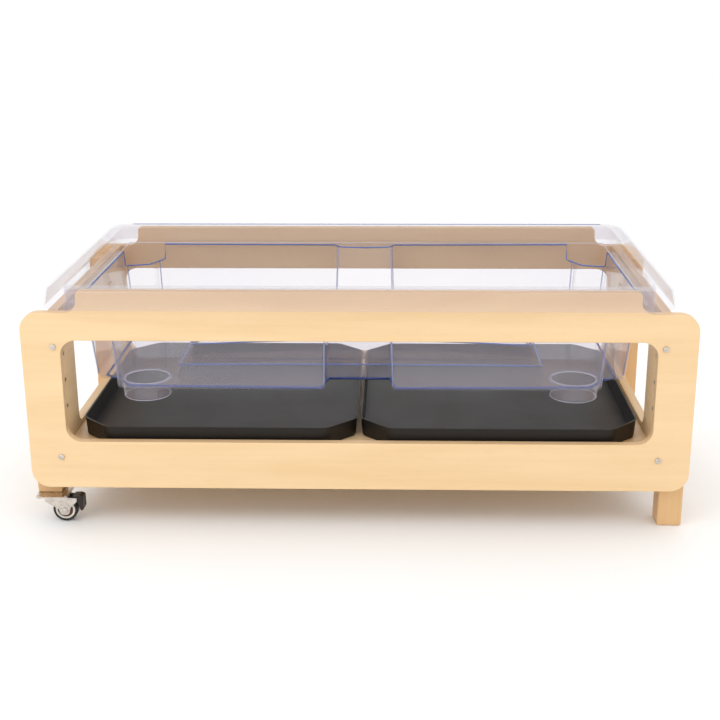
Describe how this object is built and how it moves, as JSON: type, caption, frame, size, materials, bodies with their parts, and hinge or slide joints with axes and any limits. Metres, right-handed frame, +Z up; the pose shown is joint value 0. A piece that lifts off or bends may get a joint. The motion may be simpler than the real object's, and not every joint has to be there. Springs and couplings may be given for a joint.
{
  "type": "sand and water table",
  "caption": "Low plywood sand and water table with a clear lift-out tub, two black shelf trays, legs at one end and swivel casters at the other.",
  "frame": {"origin": "centre of the object's footprint, on the floor", "axes": "+X along the length from the casters to the legs, -Y the front, +Z up"},
  "size_m": [1.25, 0.636, 0.4715],
  "materials": {
    "birch_ply": "clear satin lacquer",
    "solid_birch": "clear satin lacquer",
    "clear_plastic": "clear, blue-tinted edges",
    "black_plastic": "fine-grained satin",
    "zinc_steel": "bright zinc plate",
    "tyre_rubber": "satin",
    "ivory_plastic": "satin moulded",
    "brown_plastic": "satin moulded"
  },
  "bodies": {
    "frame": {"front_panel": "birch_ply", "back_panel": "birch_ply", "left_end_panel": "birch_ply", "right_end_panel": "birch_ply", "shelf": "birch_ply", "front_shelf_cleat": "solid_birch", "back_shelf_cleat": "solid_birch", "right_front_leg": "solid_birch", "right_back_leg": "solid_birch", "left_front_post": "solid_birch", "left_back_post": "solid_birch", "panel_bolts": "zinc_steel", "barrel_nuts": "zinc_steel", "post_screws": "zinc_steel", "front_caster_plate": "zinc_steel", "front_caster_plate_screws": "zinc_steel", "front_caster_raceway": "zinc_steel", "front_caster_king_rivet": "zinc_steel", "back_caster_plate": "zinc_steel", "back_caster_plate_screws": "zinc_steel", "back_caster_raceway": "zinc_steel", "back_caster_king_rivet": "zinc_steel"},
    "tub": {"tub": "clear_plastic"},
    "left_tray": {"left_tray": "black_plastic"},
    "right_tray": {"right_tray": "black_plastic"},
    "front_caster_swivel": {"front_caster_fork": "zinc_steel", "front_caster_bearing_balls": "zinc_steel", "front_caster_axle_bolt": "zinc_steel", "front_caster_axle_nut": "zinc_steel", "front_caster_pedal_pin": "zinc_steel"},
    "front_caster_wheel": {"front_caster_wheel_hub": "brown_plastic", "front_caster_wheel_ring": "ivory_plastic", "front_caster_tyre": "tyre_rubber"},
    "front_caster_brake": {"front_caster_brake_pedal": "brown_plastic"},
    "back_caster_swivel": {"back_caster_fork": "zinc_steel", "back_caster_bearing_balls": "zinc_steel", "back_caster_axle_bolt": "zinc_steel", "back_caster_axle_nut": "zinc_steel", "back_caster_pedal_pin": "zinc_steel"},
    "back_caster_wheel": {"back_caster_wheel_hub": "brown_plastic", "back_caster_wheel_ring": "ivory_plastic", "back_caster_tyre": "tyre_rubber"},
    "back_caster_brake": {"back_caster_brake_pedal": "brown_plastic"}
  },
  "joints": [
    {"name": "tub_lift", "type": "slide", "parent": "frame", "child": "tub", "axis": [0, 0, 1], "range_m": [0, 0.27]},
    {"name": "left_tray_lift", "type": "slide", "parent": "frame", "child": "left_tray", "axis": [0, 0, 1], "range_m": [0, 0.03]},
    {"name": "right_tray_lift", "type": "slide", "parent": "frame", "child": "right_tray", "axis": [0, 0, 1], "range_m": [0, 0.03]},
    {"name": "front_caster_turn", "type": "hinge", "parent": "frame", "child": "front_caster_swivel", "pos_m": [-0.59, -0.275, 0.0504], "axis": [0, 0, 1], "continuous": true},
    {"name": "front_caster_roll", "type": "hinge", "parent": "front_caster_swivel", "child": "front_caster_wheel", "pos_m": [-0.571, -0.275, 0.024], "axis": [0, 1, 0], "continuous": true},
    {"name": "front_caster_press", "type": "hinge", "parent": "front_caster_swivel", "child": "front_caster_brake", "pos_m": [-0.55, -0.275, 0.0465], "axis": [0, 1, 0], "range_deg": [0, 11]},
    {"name": "back_caster_turn", "type": "hinge", "parent": "frame", "child": "back_caster_swivel", "pos_m": [-0.59, 0.275, 0.0504], "axis": [0, 0, 1], "continuous": true},
    {"name": "back_caster_roll", "type": "hinge", "parent": "back_caster_swivel", "child": "back_caster_wheel", "pos_m": [-0.571, 0.275, 0.024], "axis": [0, 1, 0], "continuous": true},
    {"name": "back_caster_press", "type": "hinge", "parent": "back_caster_swivel", "child": "back_caster_brake", "pos_m": [-0.55, 0.275, 0.0465], "axis": [0, 1, 0], "range_deg": [0, 11]}
  ]
}
